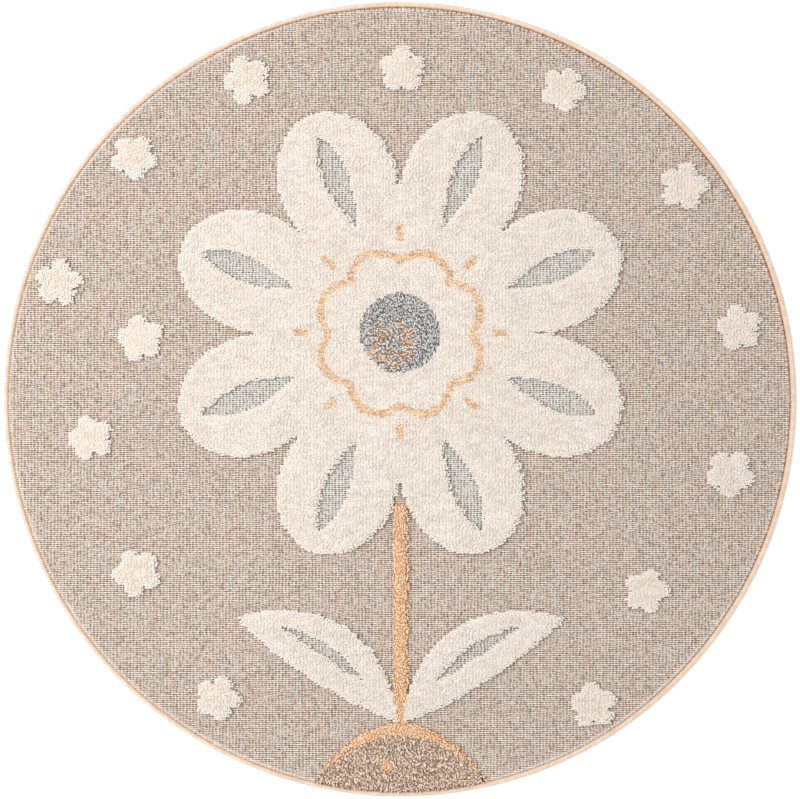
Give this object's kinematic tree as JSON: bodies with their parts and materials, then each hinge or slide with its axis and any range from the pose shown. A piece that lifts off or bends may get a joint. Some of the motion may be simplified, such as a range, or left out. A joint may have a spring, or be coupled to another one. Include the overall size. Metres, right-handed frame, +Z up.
{
  "type": "pictorial rug",
  "caption": "Round flat-woven rug with a flower picture and small blossoms in raised cut pile, and an overlocked edge, lying flat.",
  "frame": {"origin": "on the floor, under the middle of the rug", "axes": "+Z up out of the pile, +Y to the top of the picture, +X to the picture's right"},
  "size_m": [1.1982, 1.2018, 0.013],
  "materials": {
    "ground_yarn": "heathered beige flat weave, matt",
    "cream_pile": "cream cut pile, matt",
    "slit_yarn": "pale blue-grey flat weave, matt",
    "slate_pile": "slate cut pile flecked with peach, matt",
    "peach_pile": "peach cut pile, matt",
    "taupe_pile": "taupe cut pile, matt",
    "binding_yarn": "pale peach overlock yarn, slight sheen"
  },
  "bodies": {
    "root": {"rug_body": "ground_yarn", "edge_binding": "binding_yarn"}
  },
  "joints": []
}
